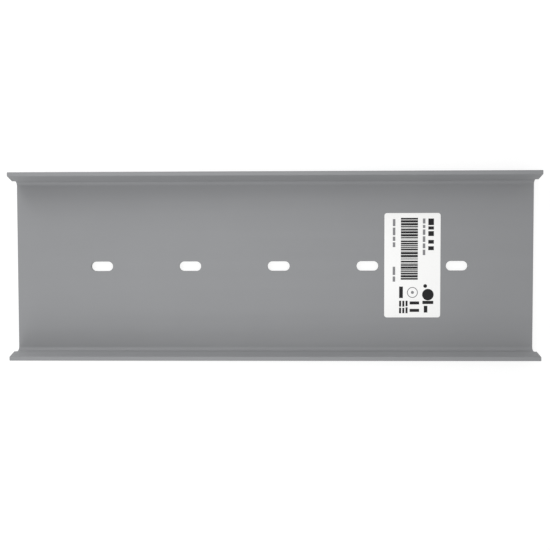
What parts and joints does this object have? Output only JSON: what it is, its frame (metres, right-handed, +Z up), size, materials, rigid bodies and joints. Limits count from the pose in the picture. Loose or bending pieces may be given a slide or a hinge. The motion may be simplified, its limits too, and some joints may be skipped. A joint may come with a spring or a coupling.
{
  "type": "relay mounting track",
  "caption": "Shallow extruded channel with grooved snap-in walls that hold a relay board by its edges, and a row of slotted screw holes along its floor.",
  "frame": {"origin": "middle of the underside", "axes": "+X along the track, towards the label's end; +Y across it; +Z up, away from the panel that it is screwed to"},
  "size_m": [0.3048, 0.1084, 0.0159],
  "materials": {
    "track": "satin grey rigid PVC, as extruded",
    "label": "white coated label stock, semi-matt, with plain dark bars"
  },
  "bodies": {
    "root": {"track": "track", "label": "label"}
  },
  "joints": []
}
